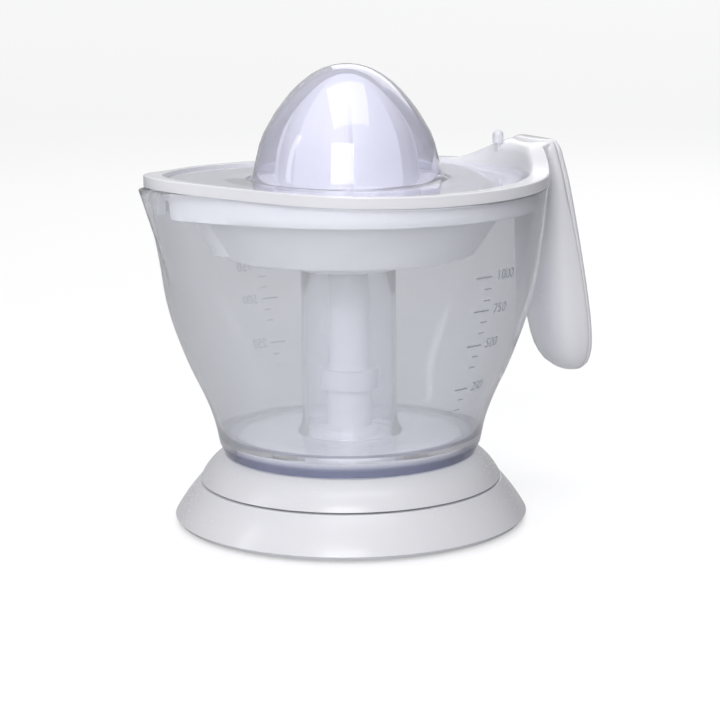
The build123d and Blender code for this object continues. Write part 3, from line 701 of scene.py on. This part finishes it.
# %% Build the frame
LIP_EGG, RECESS_EGG = (83.7, 6.7, 16.4), (78.2, 2.6, 8.5)
SKIRT_OUT, SKIRT_IN = (80.3, 5.2, 11.5), (79.0, 5.2, 9.7)
LIP_TOP, LIP_LOW, LEDGE_HIGH = 155.3, 150.4, 150.8
RAMP = (      # radius, share of the ramp's height
    (80.9, 0.0), (81.6, 0.30), (82.4, 0.58), (83.4, 0.72),
    (86.0, 0.83), (90.0, 0.93), (95.0, 1.0), (110.0, 1.0))
RAMP_HEIGHT = 11.4
RAMP_FLAT, RAMP_FADE = 11.0, 33.0          # half width of the ramp's top, and of each flank
ARM_END = 97.5
ARM_HALF, ARM_FADE = 14.5, 6.0


def ease(value):
    value = min(1.0, max(0.0, value))
    return value * value * (3 - 2 * value)


def ramp_height(x, y):
    """How far the frame's top swells above its lip, on the handle's side only."""
    if x <= 0:
        return 0.0
    radius = math.hypot(x, y)
    row = max(i for i, r in enumerate(RAMP[:-1]) if i == 0 or r[0] <= radius)
    low, high = RAMP[row], RAMP[row + 1]
    climb = low[1] + (high[1] - low[1]) * min(1.0, max(0.0, (radius - low[0]) / (high[0] - low[0])))
    return RAMP_HEIGHT * climb * (1 - ease((abs(y) - RAMP_FLAT) / RAMP_FADE))


def arm_share(angle):
    """1 in the arm, 0 beside it."""
    if abs(angle) <= 2:
        return 0.0
    aside = 95.0 * abs(math.tan(math.pi - abs(angle)))
    return 1 - ease((aside - ARM_HALF) / ARM_FADE)


def lip_radius(angle):
    edge = egg(angle, *LIP_EGG)
    share = arm_share(angle)
    return edge + share * (ARM_END / abs(math.cos(angle)) - edge) if share else edge


def frame_ring(share, lift=0.0):
    """A ring of the frame's top: share 0 at the recess, 1 at the outer edge."""
    def ring(angle):
        low, high = egg(angle, *RECESS_EGG), lip_radius(angle)
        r = low + share * (high - low)
        x, y = -r * math.cos(angle), -r * math.sin(angle)
        return (x, y, LIP_TOP + rim_rise(x) + ramp_height(x, y) + lift)
    return ring


def under_ring(pull, level):
    """A ring of the outer wall or of the lip's underside."""
    def ring(angle):
        share = arm_share(angle)
        r = lip_radius(angle) - pull - (0.0 if level else 6.5 * share)
        x, y = -r * math.cos(angle), -r * math.sin(angle)
        return (x, y, LIP_LOW + rim_rise(x) + level * (RAMP_HEIGHT + 1.9) * share
                + 0.4 * level * ramp_height(x, y) * (1 - share))
    return ring


def egg_ring(outline, height, lift=0.0, notch=0.0):
    def ring(angle):
        r = egg(angle, *outline)
        x = -r * math.cos(angle)
        raised = notch * (1 - ease((abs(angle) - 0.085) / 0.02))
        return (x, -r * math.sin(angle), height + lift * rim_rise(x) + raised)
    return ring


def both_ends(turn):
    """Crowds the vertices towards the spout and towards the handle."""
    return turn - 0.28 * math.sin(2 * turn)


def build_frame():
    top = [frame_ring(0.0, -0.35), frame_ring(0.035, -0.05), frame_ring(0.08)]
    top += [frame_ring(s) for s in (0.14, 0.2, 0.27, 0.35, 0.45, 0.56, 0.68, 0.8, 0.9)]
    top += [frame_ring(0.955, -0.06), frame_ring(0.99, -0.32), frame_ring(1.0, -0.8)]
    wall = [under_ring(0.0, 1.0), under_ring(0.35, 0.9), under_ring(2.0, 0.0)]
    skirt = [egg_ring(SKIRT_OUT, LIP_LOW, 1.0), egg_ring(SKIRT_OUT, 146.0, 0.0, 4.6),
             egg_ring(SKIRT_OUT, 142.3, 0.0, 8.0),
             egg_ring((80.0, 5.2, 11.2), 142.0, 0.0, 8.2), egg_ring((79.3, 5.2, 10.0), 142.0, 0.0,
                                                                    8.2),
             egg_ring(SKIRT_IN, 142.3, 0.0, 8.0), egg_ring(SKIRT_IN, 146.0, 0.0,
                                                           4.6), egg_ring(SKIRT_IN, 149.0)]
    ledge = [round_ring(74.4, 149.2), round_ring(74.2, 149.6), round_ring(74.2, 150.6),
             round_ring(74.4, LEDGE_HIGH),
             egg_ring(RECESS_EGG, LEDGE_HIGH), egg_ring(RECESS_EGG, 153.0)]
    shell = grow_wall(top + wall + skirt + ledge, segments=256, spacing=both_ends)
    return piece_from(shell, "frame_ring", "top_frame", FINISHES["white_casing"],
                      ["top_frame"], crease=50)


build_frame()

# %% [markdown]
# The handle is a broad tongue, moulded as two shells: a smooth inner shell that the fingers meet
# and a narrow outer strip snapped over its back.  Both come from one stack of rounded sections.
# One column of vertices follows the parting line, so the stack splits there without a cut.

# %% Build the handle's two shells
GRIP = (      # height, outer x, nose x, half width
    (58.6, 115.4, 109.6, 5.0), (58.9, 116.2, 108.0, 7.4), (62.5, 118.4, 103.0, 12.8),
    (70.0, 118.9, 98.6, 17.2), (82.0, 117.6, 95.6, 19.4), (98.0, 115.0, 93.6, 20.0),
    (116.0, 111.6, 92.0, 20.0), (134.0, 107.9, 91.6, 19.6), (150.0, 104.2, 91.2, 19.2),
    (160.0, 101.4, 89.0, 18.8), (164.6, 100.2, 87.0, 18.3), (167.4, 98.4, 88.0, 16.6),
    (168.5, 96.2, 90.0, 14.0))
PARTING = (      # height, x of the parting line
    (58.0, 113.0), (62.5, 114.2), (70.0, 114.2), (82.0, 113.0), (98.0, 110.4), (116.0, 107.0),
    (134.0, 103.0), (150.0, 99.0), (160.0, 96.6), (166.0, 95.6), (169.0, 95.0))
SPLIT = 0.6            # the parting line lies at this angle of every ring
GRIP_WALL = 1.6


def grip_ring(height, side):
    """A rounded section, squarer outside and rounder inside; side +1 or -1 opens the joint."""
    outer, nose, half = along(GRIP, height)
    middle = outer - 0.40 * (outer - nose)
    joint = min(outer - 0.6, along(PARTING, height)[0])
    corner = math.acos(min(1.0, max(0.0, (joint - middle) / (outer - middle)) ** 2))

    def ring(angle):
        turn = abs(angle)
        if turn < SPLIT:
            t = turn / SPLIT * corner
        else:
            t = corner + (turn - SPLIT) / (math.pi - SPLIT) * (math.pi - corner)
        t = math.copysign(t, angle)
        outside = math.cos(t) > 0
        reach, power = (outer - middle, 0.5) if outside else (middle - nose, 0.86)
        x = middle + math.copysign(reach * abs(math.cos(t)) ** power, math.cos(t))
        y = half * math.copysign(abs(math.sin(t)) ** 0.7, math.sin(t))
        near = 1 - ease(abs(turn - SPLIT) / 0.12)
        return (x + 0.22 * side * near, y * (1 - 0.012 * near), height)
    return ring


def build_grip(name, side, wanted, stands_for):
    heights = [58.6, 58.9, 60.0, 62.5, 66.0] + [70.0 + 5.0 * i for i in range(19)]
    heights += [162.5, 164.6, 166.2, 167.4, 168.1, 168.5]
    shell = grow_wall([grip_ring(z, side) for z in heights], segments=84, closed=False)
    bmesh.ops.holes_fill(shell, edges=[e for e in shell.edges if e.is_boundary])
    turn = shell.verts.layers.float["turn"]
    spare = [f for f in shell.faces if not wanted(sum(abs(v[turn]) for v in f.verts) / len(f.verts),
                                                  len(f.verts))]
    bmesh.ops.delete(shell, geom=spare, context="FACES")
    piece = piece_from(shell, name, "top_frame", FINISHES["white_casing"],
                       stands_for, crease=50)
    wall = piece.modifiers.new("wall", "SOLIDIFY")
    wall.thickness, wall.offset = GRIP_WALL * MM, -1
    return piece


build_grip("handle_grip", -1, lambda turn, corners: turn > SPLIT or corners > 4, [])
build_grip("handle_back", 1, lambda turn, corners: turn < SPLIT and corners <= 4,
                         ["handle_cover"])

# %% [markdown]
# ## The clear cover
# The cover is a dome over the cone with a thin brim that lies in the frame's recess.  The dome is
# round and the brim egg-shaped, so the rings between them change from one outline to the other.
# A small fillet joins the dome's foot to the brim, so the cover wipes clean.

# %% Build the cover
BRIM_EGG = (77.7, 2.6, 8.0)
BRIM_TOP, BRIM_WALL = 154.0, 1.4
BRIM_START = 45.4      # the brim's inner radius, at the dome's foot
DOME = ((45.0, 154.1), (44.0, 154.5), (43.1, 155.3), (42.3, 157.0), (41.4, 160.0), (40.2, 165.0),
        (38.9, 170.0),
        (37.1, 174.8), (34.4, 179.5), (31.6, 184.2), (28.4, 188.4), (24.6, 193.0), (20.4,
                                                                                    197.0), (15.6,
                                                                                             200.6),
        (10.6, 203.2), (5.4, 204.7), (2.4, 205.1), (0.2, 205.2))


def brim_ring(share, drop):
    """A ring of the brim: share 0 is the dome's foot, 1 the egg-shaped edge."""
    def ring(angle):
        r = BRIM_START + share * (egg(angle, *BRIM_EGG) - BRIM_START)
        x = -r * math.cos(angle)
        return (x, -r * math.sin(angle), BRIM_TOP - drop + rim_rise(x))
    return ring


def build_cover():
    outer = [round_ring(r, z) for r, z in reversed(DOME)]
    brim = [brim_ring(s, 0.0) for s in (0.0, 0.04, 0.3, 0.6, 0.9, 0.985)]
    brim += [brim_ring(1.0, 0.35), brim_ring(1.0, 1.05)]
    brim += [brim_ring(s, BRIM_WALL) for s in (0.985, 0.9, 0.6, 0.3, 0.0)]
    inner = [round_ring(42.4, 152.9), round_ring(41.0, 153.6)]
    inner += [round_ring(max(0.2, r - 1.5 * min(1.0, r / 14.0)), z - 1.5 * (1 - min(1.0, r / 44.0)))
              for r, z in DOME[3:]]
    wall = grow_wall(outer + brim + inner, segments=160, closed=False)
    return piece_from(wall, "cover_dome", "cover", FINISHES["clear_cover"],
                      ["dust_cover"])


build_cover()

# %% [markdown]
# ## The ribbed cone
# Four long ridges cut into the fruit, and a short rib stands in the middle of each panel.  The
# ridges are the section's highest points and stay sharp; the panels between them are hollow.
# The section is a share of the ridge's radius at each angle, and it repeats every quarter turn.

# %% Build the cone
CONE_TABLE = ((139.6, 34.4), (150.0, 34.0), (160.0, 33.2), (168.0, 31.8), (176.0, 29.2),
              (183.0, 25.4),
              (189.0, 20.8), (194.0, 15.6), (197.6, 10.4), (199.4, 5.6))
PANEL = ((0, 1.0), (3.0, 0.982), (10, 0.955), (24, 0.93), (38, 0.924), (45, 0.924), (52, 0.924),
         (66, 0.93),
         (80, 0.955), (87.0, 0.982), (90, 1.0))
RIDGE_TURN = 23.0


def panel_share(angle, height):
    quarter = (math.degrees(angle) - RIDGE_TURN) % 90.0
    row = max(i for i, p in enumerate(PANEL[:-1]) if p[0] <= quarter)
    low, high = PANEL[row], PANEL[row + 1]
    t = (quarter - low[0]) / (high[0] - low[0])
    rib = max(0.0, 1.0 - abs(quarter - 45.0) / 4.0) * min(1.0, max(0.0, (192.0 - height) / 14.0))
    return low[1] + t * (high[1] - low[1]) + 0.05 * rib


def cone_ring(height, inset=0.0):
    radius = along(CONE_TABLE, height)[0] - inset
    def ring(angle):
        r = radius * (panel_share(angle, height) if not inset else 0.9)
        return (r * math.cos(angle), r * math.sin(angle), height)
    return ring


def build_cone():
    heights = [139.9, 141.0, 145.0, 150.0, 155.0, 160.0, 164.0, 168.0, 172.0, 176.0, 179.5, 183.0,
               186.0, 189.0,
               191.6, 194.0, 196.0, 197.6, 198.6, 199.4]
    climb = [cone_ring(z) for z in heights]
    tip = [lambda a, f=f, z=z: (5.6 * f * math.cos(a), 5.6 * f * math.sin(a), z)
           for f, z in ((0.75, 199.8), (0.4, 200.1), (0.03, 200.2))]
    hollow = [cone_ring(z, 3.4) for z in (139.6, 150.0, 160.0, 168.0, 176.0, 183.0, 188.0)]
    shell = grow_wall([*reversed(hollow), cone_ring(139.6, 0.4), *climb, *tip], segments=240,
                      closed=False)
    bmesh.ops.holes_fill(shell, edges=[e for e in shell.edges if e.is_boundary])
    return piece_from(shell, "ribbed_cone", "cone", FINISHES["white_gloss"],
                      ["reamer_cone"], crease=24)


build_cone()


# %% Build the cone's hexagon socket
def build_socket():
    def hexagon(height):
        def ring(angle):
            r = 8.2 * math.cos(math.pi / 6) / math.cos(angle % (math.pi / 3) - math.pi / 6)
            return (r * math.cos(angle), r * math.sin(angle), height)
        return ring

    def circle(radius, height):
        return lambda angle: (radius * math.cos(angle), radius * math.sin(angle), height)
    rings = [circle(11.4, 140.0), circle(11.0, 139.6), hexagon(139.6), hexagon(149.4),
             circle(7.0, 149.4),
             circle(7.0, 186.0), circle(11.4, 186.0)]
    wall = grow_wall(rings, segments=96)
    return piece_from(wall, "cone_socket", "cone", FINISHES["white_gloss"])


build_socket()
